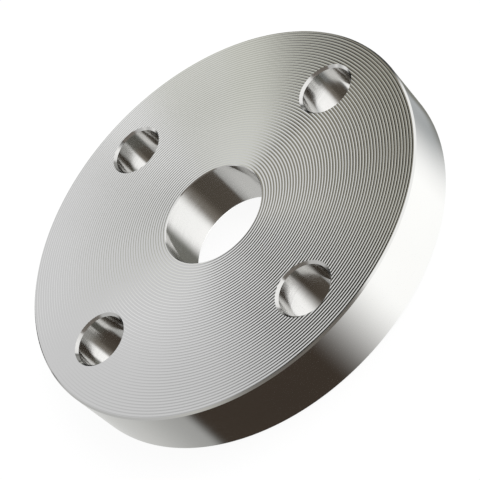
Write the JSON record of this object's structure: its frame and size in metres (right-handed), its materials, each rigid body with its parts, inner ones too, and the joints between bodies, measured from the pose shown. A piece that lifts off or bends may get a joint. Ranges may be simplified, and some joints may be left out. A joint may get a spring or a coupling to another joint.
{
  "type": "plate flange",
  "caption": "Flat-faced pipe plate flange: a round stainless steel plate with a central bore, bolt holes on a circle and a finely grooved sealing face.",
  "frame": {"origin": "centre of the bore on the smooth back face, which the flange lies on", "axes": "+Z along the bore axis towards the grooved sealing face; the bolt holes straddle the X and Y centre lines"},
  "size_m": [0.115, 0.115, 0.016],
  "materials": {
    "stainless_steel": "bare stainless steel, turned all over; grooved on the sealing face, smooth in the bore and on the rim"
  },
  "bodies": {
    "root": {"flange": "stainless_steel"}
  },
  "joints": []
}
